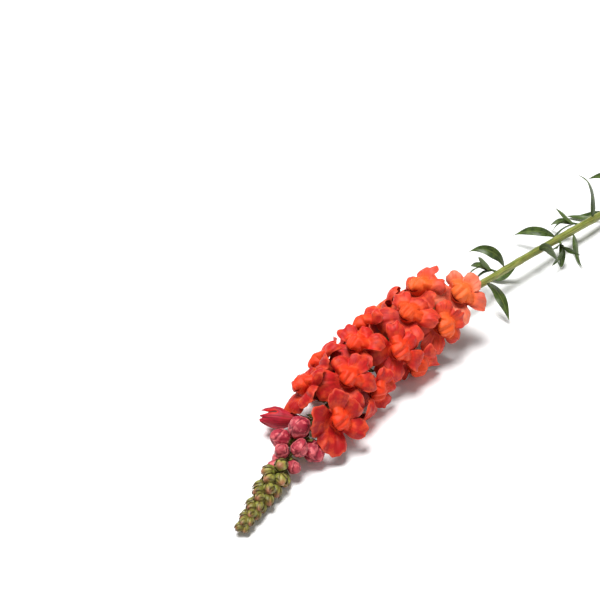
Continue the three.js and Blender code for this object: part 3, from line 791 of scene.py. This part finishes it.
def green_bud(perch, length, young, seed, cores, sepals):
    """A small bud shut in its calyx: an egg with five sepals folded over it."""
    angle = ring_angles(40)
    t = (1 - cos(pi * linspace(0.08, 0.97, 18)))[:, None] / 2
    core = length * GREEN_SHARE * bud_swell(t) * 0.86 * (1 + 0.05 * cos(5 * angle + pi))
    cores.loft(
        perch.ring(length * t * 0.97, core, angle), perch.place(0), perch.place(length * 0.97),
        along=t, centre=0.3, young=young, seed=seed,
    )
    reach = mix(0.8, 1.02, smooth((young - 0.42) / 0.35))
    v = linspace(0, 1, 11)[:, None]
    x = sin(linspace(-1, 1, 9) * pi / 2)
    width = radians(46) * maximum(0.02, 1 - v**1.7)
    thick = mix(0.5, 0.2, v) * (1 - 0.6 * x**2)
    for n in range(5):
        around = radians(72 * n) + 0.1 * sin(seed + 2 * n) + x * width
        height = length * (0.04 + (reach + 0.07 * sin(seed * 3 + n)) * v)
        base = length * GREEN_SHARE * bud_swell(height / length)
        loose = (0.4 + 1.3 * chance(7 * n + int(10 * seed))) * v**3 + 0.3 * hill(x, 0.3) * (1 - v)
        outer, inner = [perch.ring(height, base * 0.98 + loose + off, around) for off in (thick, -0.15)]
        ring = concatenate([outer, inner[:, ::-1]], 1)
        sepals.loft(
            ring, ring[0].mean(0), ring[-1].mean(0),
            along=v, centre=np.abs(np.r_[x, x[::-1]]), young=young, seed=seed + n,
        )


# ---- The stalk ----
PITH = [(0.75, 0.35, 1), (0.5, 0.1, 0.8), (0.18, 0, 0.55)]  # rings of the cut end: how far in, deep and pale
CUT_EDGE = 0.93  # the first ring's radius over the stalk's


def leaf_stations():
    return [mix(LEAF_FROM, LEAF_TO, k / (LEAVES - 1)) + jitter(k + 900, 6) for k in range(LEAVES)]


def stalk(shape):
    """The ribbed stalk, with a swelling where each leaf grows and a cut, pithy end."""
    angle = ring_angles(32)
    stations = np.r_[0, 0.6, arange(3, STEM_LENGTH - 4, 3.0)]
    rings = []
    for s in stations:
        point, _, left, up = stem_at(s)
        ribs = 0.022 * cos(4 * angle + 0.004 * s) + 0.012 * cos(11 * angle + 0.01 * s)
        nodes = sum(0.09 * hill(s - seat, 3.5) for seat in leaf_stations())
        r = stem_radius(s) * (1 + ribs + nodes + 0.012 * sin(s / 17))
        rings.append(hoop(point, left, up, r * CUT_EDGE if s == 0 else r, angle))
    pith = [mix(rings[0], LINE[0], inward) + vec(deep, 0, 0) for inward, deep, _ in PITH]
    rings = stack(pith + rings)
    shape.loft(
        press(rings, STALK_CLEARANCE), rings[0].mean(0), LINE[STEM_LENGTH - 2],
        along=np.r_[[0] * len(PITH), stations / STEM_LENGTH][:, None],
        cut=np.r_[[pale for _, _, pale in PITH], 0 * stations][:, None],
        around=angle,
    )


# ---- Leaves and side shoots ----
DOWN = vec(0, 0, -1)


def leaf(k, shape):
    """One leaf of the stalk, which grows out of it."""
    s = leaf_stations()[k]
    turn = (FIRST_LEAF_TURN + GOLDEN_ANGLE * k) % 360 - 180
    point, ahead, out, radius = branching(s, turn * 0.85)
    blade = Blade(
        start=point + out * (radius + LEAF_SEAT),
        towards=turned(out, ahead, mix(45, -5, chance(k + 920))),
        bend_to=DOWN + vec(out[0], out[1], 0) * 0.5 + ahead * 0.3,
        bend=mix(1.2, 2.4, chance(k + 940)), face=ahead,
        length=mix(54, 38, k / (LEAVES - 1)) * (1 + jitter(k + 960, 0.15)),
        width=mix(5, 4, chance(k + 980)), steps=7, outline=leaf_outline,
        fold=0.25, twist=jitter(k + 990, 80),
    )
    root = point + out * radius * 0.6
    blade.skin(shape, 40, 0.3, wave=0.7, root=root, phase=k * 1.7, young=0.3, seed=float(k))


def side_shoot(s, turn, length, leaves, seed, shape):
    """A short twig with a few small leaves."""
    point, ahead, out, radius = branching(s, turn)
    grow = out * 0.8 + ahead * 0.6
    foot = point + out * (radius + LEAF_SEAT)
    side = unit(np.cross(ahead, out))
    up = np.cross(grow, side)
    middles = foot + grow * np.r_[-3.2, linspace(-0.4, length + 0.5, 8)][:, None]
    radii = linspace(1.15, 0.7, len(middles))
    shape.loft(
        twig(middles, side, up, radii, 12), middles[0], middles[-1] + grow * 0.6,
        along=0.0, under=0.0, centre=1.0, young=0.5, seed=float(seed % 7),
    )
    for k in range(leaves):
        share = (k + 0.6) / leaves
        sideways = turned(side, up, GOLDEN_ANGLE * k + 40)
        blade = Blade(
            start=foot + grow * length * share,
            towards=sideways + grow * mix(1.1, 2.4, share),
            bend_to=sideways + DOWN * 1.1, bend=1.1, face=grow,
            length=mix(31, 19, share) * (1 + jitter(seed + k, 0.2)),
            width=mix(3.2, 2.6, share), steps=3, outline=bract_outline, fold=0.3,
        )
        blade.skin(shape, 20, 0.3, wave=0.3, phase=seed + k, young=0.5, seed=float(k))


# ---- Looks ----
def colour(r, g, b):
    """A colour as it looks on screen, 0 to 1, in the linear values that shaders take."""
    return tuple(c / 12.92 if c <= 0.04045 else ((c + 0.055) / 1.055) ** 2.4 for c in (r, g, b)) + (1,)


class Look:
    """A material built from a few named steps."""

    def __init__(self, name, **settings):
        self.material = bpy.data.materials.new(name)
        self.material.use_nodes = True
        self.tree = self.material.node_tree
        self.shader = self.tree.nodes["Principled BSDF"]
        for key, value in settings.items():
            self.shader.inputs[key.replace("_", " ").title().replace("Ior", "IOR")].default_value = value

    def node(self, kind, inputs, **settings):
        node = self.tree.nodes.new(kind)
        for key, value in settings.items():
            setattr(node, key, value)
        for key, value in inputs.items():
            if isinstance(value, bpy.types.NodeSocket):
                self.tree.links.new(value, node.inputs[key])
            else:
                node.inputs[key].default_value = value
        return node

    def values(self, names):
        """What a mesh says under these names, point by point."""
        nodes = [self.node("ShaderNodeAttribute", {}, attribute_name=name) for name in names.split()]
        return [node.outputs["Fac"] for node in nodes]

    def noise(self, vector, scale, detail=4.0, roughness=0.55):
        inputs = {"Vector": vector, "Scale": scale, "Detail": detail, "Roughness": roughness}
        return self.node("ShaderNodeTexNoise", inputs).outputs["Fac"]

    def clouds(self, scale, detail=4.0):
        """Noise over the place in millimetres."""
        inputs = {0: self.node("ShaderNodeTexCoord", {}).outputs["Object"], "Scale": 1 / MM}
        place = self.node("ShaderNodeVectorMath", inputs, operation="SCALE").outputs["Vector"]
        return self.noise(place, scale, detail)

    def join(self, x, y, z):
        return self.node("ShaderNodeCombineXYZ", {"X": x, "Y": y, "Z": z}).outputs["Vector"]

    def maths(self, operation, a, b=0):
        return self.node("ShaderNodeMath", {0: a, 1: b}, operation=operation).outputs[0]

    def times(self, a, b):
        return self.maths("MULTIPLY", a, b)

    def plus(self, a, b):
        return self.maths("ADD", a, b)

    def range(self, value, low, high, most=1):
        """0 where value is low, and smoothly up to most where it is high."""
        inputs = {"Value": value, "From Min": low, "From Max": high, "To Min": 0, "To Max": most}
        return self.node("ShaderNodeMapRange", inputs, interpolation_type="SMOOTHSTEP").outputs["Result"]

    def mix(self, amount, a, b):
        a, b = [x if isinstance(x, bpy.types.NodeSocket) else colour(*x) for x in (a, b)]
        return self.node("ShaderNodeMix", {0: amount, 6: a, 7: b}, data_type="RGBA").outputs[2]

    def blend(self, base, shade, value, low, high, most=1):
        """The base with a shade over it: none where value is low, and most where it is high."""
        return self.mix(self.range(value, low, high, most), base, shade)

    def paint(self, shade, amount):
        """Lays a shade over the base so far."""
        self.base = self.mix(amount, self.base, shade)

    def tint(self, shade, *how_much):
        self.base = self.blend(self.base, shade, *how_much)

    def finish(self, height=None, distance=0, strength=0):
        """The material, with bumps where height has them, distance deep."""
        self.tree.links.new(self.base, self.shader.inputs["Base Color"])
        if height is not None:
            inputs = {"Height": height, "Distance": distance * MM, "Strength": strength}
            bump = self.node("ShaderNodeBump", inputs).outputs["Normal"]
            self.tree.links.new(bump, self.shader.inputs["Normal"])
        return self.material


def petal_look():
    """Velvety coral-red petals: an orange palate, a dusky pink tube, and fine veins out to the edge, with
    painted shade: tube and backs darker than their own colour, a deep red towards the throat, and near-black
    deep in the groove of shut lips.
    """
    look = Look(
        "petals", roughness=0.55, specular_ior_level=0.3,
        subsurface_weight=0.1, subsurface_radius=(0.004, 0.0012, 0.0006),
        sheen_weight=0.12, sheen_roughness=0.35, sheen_tint=colour(1, 0.6, 0.5),
    )
    share, tube, front, palate, mouth = look.values("share tube front palate mouth")
    age, shut, gape, vein, lobe, seed = look.values("age shut gape vein lobe seed")
    spokes = look.join(look.times(vein, 1.6), look.times(share, 1.2), seed)
    streaks = look.noise(spokes, 1, roughness=0.6)
    clouds = look.clouds(0.16, 3.0)

    inner = look.blend((0.7, 0.05, 0.07), (0.81, 0.12, 0.1), age, 0, 0.45)
    inner = look.blend(inner, (0.86, 0.24, 0.17), age, 0.45, 0.8)
    inner = look.blend(inner, (0.97, 0.54, 0.42), age, 0.84, 1)
    # The petals' backs: their own crimson, made darker still as painted shade for the gaps between florets.
    outer = look.blend((0.48, 0.03, 0.09), (0.7, 0.18, 0.15), age, 0.1, 0.9)
    look.base = look.mix(front, outer, inner)
    # The tube: its own dusky pink, darkened as painted shade deep between the florets.
    look.tint((0.33, 0.05, 0.12), tube, 0, 0.6)
    deeper_lobes = look.maths("SINE", look.plus(lobe, seed))
    look.tint((0.66, 0.06, 0.07), deeper_lobes, 0, 1, 0.5)
    # Painted shade: the lobes' front turns a deep red towards the throat, where shade falls.
    throat = look.times(look.range(share, 0.4, 0.05), front)
    look.paint((0.62, 0.04, 0.02), look.times(throat, 0.65))
    veined = look.times(look.range(streaks, 0.44, 0.68, 0.6), look.range(palate, 1, 0.3))
    vein_shade = look.blend((0.6, 0.04, 0.05), (0.8, 0.26, 0.16), age, 0.8, 1)
    look.paint(vein_shade, veined)
    orange = look.blend((0.93, 0.22, 0.03), (1, 0.44, 0.14), age, 0.5, 1)
    look.tint(orange, palate, 0.1, 1, 0.8)
    look.tint((0.8, 0.12, 0.04), mouth, 0, 1)
    look.tint((0.98, 0.38, 0.17), clouds, 0.42, 0.72, 0.45)
    pale_edge = (0.98, 0.38, 0.24)
    look.tint(pale_edge, share, 0.86, 1, 0.45)
    crimson = look.blend((0.74, 0.08, 0.22), (0.5, 0.02, 0.07), streaks, 0.4, 0.65)
    look.tint(crimson, shut, 0.3, 0.8, 0.8)
    look.tint((0.85, 0.13, 0.05), gape, 0.15, 0.6, 0.85)
    # Painted shadow: near-black deep in the groove between the lips of a shut floret.
    painted_groove_shadow = (0.22, 0.01, 0.03)
    look.tint(painted_groove_shadow, gape, 0.68, 0.82, 0.9)
    height = look.plus(streaks, look.times(look.clouds(2.2), 0.35))
    return look.finish(height, 0.3, 0.6)


def bud_look():
    """Pink buds: pale mottled patches and a paler tip, a painted highlight along the hood's rim, painted
    shade in the folds and under the lapping hood, and browner towards the calyx.
    """
    look = Look(
        "pink_buds", roughness=0.55, specular_ior_level=0.35,
        subsurface_weight=0.08, subsurface_radius=(0.004, 0.0014, 0.0012),
        sheen_weight=0.14, sheen_roughness=0.35,
    )
    along, rim, fold, young, vein, seed = look.values("along rim fold young vein seed")
    spokes = look.join(look.times(vein, 1.1), look.times(along, 1.5), seed)
    streaks = look.noise(spokes, 1, roughness=0.6)
    clouds = look.clouds(0.22)
    sides = look.range(along, 0.96, 0.7)
    look.base = look.blend((0.66, 0.1, 0.21), (0.7, 0.24, 0.29), young, 0, 0.8)
    look.paint((0.47, 0.04, 0.13), look.times(look.range(streaks, 0.42, 0.7, 0.6), sides))
    look.tint((0.93, 0.47, 0.48), clouds, 0.49, 0.64, 0.75)
    look.tint((0.8, 0.36, 0.38), along, 0.8, 1, 0.3)
    look.tint((0.55, 0.3, 0.22), along, 0.34, 0.05, 0.7)
    # Painted highlight: pale pink along the rim of the hood's lapping edge.
    look.tint((0.94, 0.52, 0.52), rim, 0.2, 1, 0.3)
    # Painted shade: dark crimson along the seams and just under the hood's lapping edge.
    look.tint((0.44, 0.03, 0.12), fold, 0.1, 1, 0.85)
    height = look.plus(look.times(streaks, sides), look.times(look.clouds(1.8), 0.3))
    return look.finish(height, 0.25, 0.6)


GREEN_GLOW = (0.001, 0.002, 0.0005)  # how far light runs under green skin


def green_look(name, fresh, old, edge, tinge, tinge_from, light):
    """Sepals, bracts and green buds: fresh to olive, pale in the middle, with brown edges and points."""
    look = Look(
        name, roughness=0.48, subsurface_weight=0.05, subsurface_radius=GREEN_GLOW,
        sheen_weight=0.1, sheen_roughness=0.4,
    )
    along, young, centre, seed = look.values("along young centre seed")
    clouds = look.noise(look.join(seed, look.times(along, 1.3), young), 2.4, 3.0)
    look.base = look.mix(young, fresh, old)
    look.tint(light, clouds, 0.4, 0.65, 0.7)
    look.tint(edge, centre, 0.45, 1, 0.75)
    look.tint(tinge, along, tinge_from, 1, 0.8)
    look.tint(tinge, look.clouds(0.45), 0.52, 0.72, 0.5)
    return look.finish(look.clouds(2.6), 0.2, 0.5)


def stalk_look():
    """A green stalk with paler ribs, brownish pink under the flowers, and a pale pithy cut."""
    look = Look("stalk", roughness=0.45, subsurface_weight=0.05, sheen_weight=0.1)
    along, cut, around = look.values("along cut around")
    lengthwise = look.join(look.times(around, 2.2), look.times(along, 26.0), 0)
    fibres = look.noise(lengthwise, 1.6, roughness=0.6)
    clouds = look.clouds(0.04, 3.0)
    look.base = look.blend((0.38, 0.43, 0.15), (0.6, 0.62, 0.3), fibres, 0.35, 0.68)
    look.tint((0.32, 0.39, 0.14), clouds, 0.45, 0.7, 0.5)
    blush = look.times(look.range(along, 0.5, 0.6), look.range(along, 0.86, 0.72))
    look.paint((0.56, 0.38, 0.26), look.times(blush, 0.55))
    look.tint((0.8, 0.84, 0.62), cut, 0.3, 0.8)
    return look.finish(fibres, 0.25, 0.5)


def leaf_look():
    """Dark green leaves, paler and bluer below, with a light midrib and faint side veins."""
    look = Look(
        "leaves", roughness=0.42, subsurface_weight=0.08, subsurface_radius=GREEN_GLOW, sheen_weight=0.1,
    )
    along, under, centre = look.values("along under centre")
    slanted = look.plus(look.times(along, 46.0), look.times(centre, 9.0))
    veins = look.range(look.maths("SINE", slanted), 0.82, 1)
    look.base = look.blend((0.19, 0.27, 0.09), (0.31, 0.4, 0.15), look.clouds(0.2), 0.35, 0.7)
    look.paint((0.38, 0.46, 0.24), look.times(under, 0.6))
    look.paint((0.42, 0.5, 0.22), look.times(veins, 0.2))
    look.tint((0.44, 0.51, 0.24), centre, 0.16, 0.03, 0.6)
    look.tint((0.44, 0.38, 0.18), along, 0.9, 1, 0.5)
    height = look.plus(look.times(veins, -0.5), look.clouds(1.6, 3.0))
    return look.finish(height, 0.15, 0.4)


def table_look():
    look = Look("table", roughness=0.6)
    grain = look.clouds(0.02, 2.0)
    look.base = look.mix(grain, (0.985, 0.985, 0.985), (1, 1, 1))
    return look.finish()


# ---- The dressed stem ----
def dress(name, material, slot, node, fill, *about):
    """One piece, whose shape fill makes, that stands for one node."""
    shape = Shape()
    fill(*about, shape)
    shape.build(name, material, slot, node)


def dress_flowers(blooms, buds):
    petals, pink = petal_look(), bud_look()
    for k, bloom in enumerate(blooms, 1):
        dress(f"corolla_{k:02d}", petals, "petal", f"floret_{k:02d}", corolla, bloom)
    for k, bud in enumerate(buds, 1):
        dress(f"pink_bud_{k:02d}", pink, "bud", f"bud_{k:02d}", pink_bud, bud)


def dress_leaves():
    material = leaf_look()
    for k in range(LEAVES):
        dress(f"leaf_blade_{k + 1:02d}", material, "leaf", f"leaf_{k + 1:02d}", leaf, k)
    for k, shoot in enumerate(SHOOTS, 1):
        dress(f"shoot_{k:02d}", material, "leaf", f"side_shoot_{k:02d}", side_shoot, *shoot.values())


def dress_spike(blooms, buds):
    """The green organs of the spike, young from 0 at its foot to 1 at its tip."""
    calyces, stalks, bracts, cores, sepals = Shape(), Shape(), Shape(), Shape(), Shape()
    organs = len(blooms) + len(buds)
    for k, bloom in enumerate(blooms):
        perch, size, young = bloom["perch"], bloom["size"], 0.35 * k / organs
        flower_stalk(perch, 1.1, -0.6, young, stalks)
        calyx(perch, SEPAL * size, tube_foot(size), young, bloom["phase"], calyces)
    for bud in buds:
        perch, length, young = bud["perch"], bud["length"], 0.3 + 0.3 * bud["young"]
        flower_stalk(perch, 1, -0.6, young, stalks)
        calyx(perch, BUD_SEPAL_SHARE * length, bud_foot(length), young, bud["phase"], calyces)
    for k, organ in enumerate([*blooms, *buds]):
        t = k / (organs - 1)
        length, width, lean = mix(15, 8, t**0.6), mix(2.8, 1.9, t), mix(15, 25, t)
        add_bract(organ["s"] - 4, organ["turn"], length, width, lean, 0.5 * t, bracts)

    def add_bud(s, turn, lean, stalk_length, length, seed, young):
        perches = [Perch(s, turn, lean, stalk_length, seed + draw, BUD_SWAY) for draw in DRAWS]
        perch = as_built(perches, lambda option: option.place(length))
        if perch is not None:
            green_bud(perch, length, young, seed % 11, cores, sepals)
        if stalk_length > 1:
            flower_stalk(perches[0], 0.9, 2, young, stalks)

    green_start = buds[-1]["s"] + 5
    for k in range(GREEN_BUDS):
        t = k / (GREEN_BUDS - 1)
        s = green_start + GREEN_PITCH * k * (1 - 0.15 * t)
        turn = spiral_turn(organs + k, 0.85)
        length = mix(FIRST_GREEN_LENGTH, LAST_GREEN_LENGTH, t)
        young = mix(0.45, 0.75, t)
        add_bud(s, turn, mix(40, 52, t), mix(2.4, 1.1, t), length, 13 * k + 700, young)
        add_bract(s - 2.5, turn, mix(10, 8, t), 1.9, mix(28, 42, t), young, bracts)
    tip_start = green_start + GREEN_PITCH * GREEN_BUDS * 0.85 + 0.4
    for k in range(TIP_BUDS):
        t = k / (TIP_BUDS - 1)
        s = mix(tip_start, STEM_LENGTH - 6, t)
        turn = spiral_turn(organs + GREEN_BUDS + k, 0.95)
        length = mix(FIRST_TIP_LENGTH, LAST_TIP_LENGTH, t)
        add_bud(s, turn, mix(50, 68, t), 0.6, length, 17 * k + 800, mix(0.75, 1, t))
        if k % 2 == 0:
            add_bract(s - 1.5, turn, mix(7.5, 5, t), 1.6, mix(46, 62, t), mix(0.8, 1, t), bracts)

    brown, pinkish = (0.36, 0.19, 0.12), (0.66, 0.36, 0.30)
    olive, pale = (0.44, 0.42, 0.12), (0.66, 0.66, 0.30)
    green = green_look("sepals", (0.4, 0.46, 0.15), olive, (0.34, 0.27, 0.10), brown, 0.6, pale)
    bract_green = green_look("bracts", (0.35, 0.44, 0.15), olive, (0.32, 0.30, 0.10), brown, 0.75, pale)
    core_green = green_look("green_buds", (0.62, 0.60, 0.28), (0.52, 0.48, 0.16), olive, pinkish, 0.72, pale)
    calyces.build("calyces", green, "green", "stem")
    stalks.build("flower_stalks", green, "green", "stem")
    bracts.build("bracts", bract_green, "green", "stem")
    cores.build("green_buds", core_green, "green", "stem")
    sepals.build("green_bud_sepals", green, "green", "stem")


# ---- Camera, light and table ----
VIEW_TURN = radians(228.06)  # from the row's +X to the camera's right
TIP_IN_VIEW = (-42.55, -276.69)  # the tip's place right of the view's middle, and beyond it
CAMERA_ELEVATION = radians(38)
CAMERA_DISTANCE = 1160
FIELD_OF_VIEW = radians(26)
LIT_SPOT = (60, 0, 20)
LIGHTS = {
    "key": dict(place=(-180, 150, 1500), spread=30, strength=4.1),
    "fill": dict(place=(900, -1000, 1000), spread=60, strength=0.35),
}
SKY_STRENGTH = 0.17
TABLE_HALF = 20000
TABLE_DROP = 0.2  # how far the table lies below the part


def on_table(right, beyond, height=0.0):
    """A place by its distances right of the view's middle, beyond it and above the table."""
    a, b = right - TIP_IN_VIEW[0], beyond - TIP_IN_VIEW[1]
    tip = (LINE[-1] + SHIFT)[:2]
    x = tip[0] + cos(VIEW_TURN) * a + sin(VIEW_TURN) * b
    y = tip[1] - sin(VIEW_TURN) * a + cos(VIEW_TURN) * b
    return Vector((x, y, height)) * MM


def aim(thing, place, target):
    thing.location = place
    thing.rotation_euler = (target - place).to_track_quat("-Z", "Y").to_euler()


def add_camera():
    data = bpy.data.cameras.new("camera")
    data.sensor_fit = "HORIZONTAL"
    data.sensor_width = 36
    data.lens = data.sensor_width / 2 / math.tan(FIELD_OF_VIEW / 2)
    data.clip_start, data.clip_end = 0.01, 50
    camera = add("camera", data)
    back, height = CAMERA_DISTANCE * cos(CAMERA_ELEVATION), CAMERA_DISTANCE * sin(CAMERA_ELEVATION)
    aim(camera, on_table(0, -back, height), on_table(0, 0))
    bpy.context.scene.camera = camera


def add_lights():
    """Soft lights, as from far panels that look spread degrees wide, and a faint white sky."""
    for name, light in LIGHTS.items():
        data = bpy.data.lights.new(name, "SUN")
        data.angle = radians(light["spread"])
        data.energy = light["strength"]
        aim(add(name, data), on_table(*light["place"]), on_table(*LIT_SPOT))
    world = bpy.data.worlds.new("studio")
    world.use_nodes = True
    background = world.node_tree.nodes["Background"]
    background.inputs["Color"].default_value = (1, 1, 1, 1)
    background.inputs["Strength"].default_value = SKY_STRENGTH
    bpy.context.scene.world = world
    bpy.context.scene.view_settings.view_transform = "Standard"


def add_table():
    half = TABLE_HALF * MM
    mesh = bpy.data.meshes.new("table")
    corners = [(-half, -half, 0), (half, -half, 0), (half, half, 0), (-half, half, 0)]
    mesh.from_pydata(corners, [], [(0, 1, 2, 3)])
    mesh.materials.append(table_look())
    table = add("table", mesh)
    table.location.z = -TABLE_DROP * MM


add_camera()
add_lights()
add_table()
blooms, buds = make_blooms(), make_buds()
dress("stalk", stalk_look(), "green", "stem", stalk)
dress_flowers(blooms, buds)
dress_spike(blooms, buds)
dress_leaves()
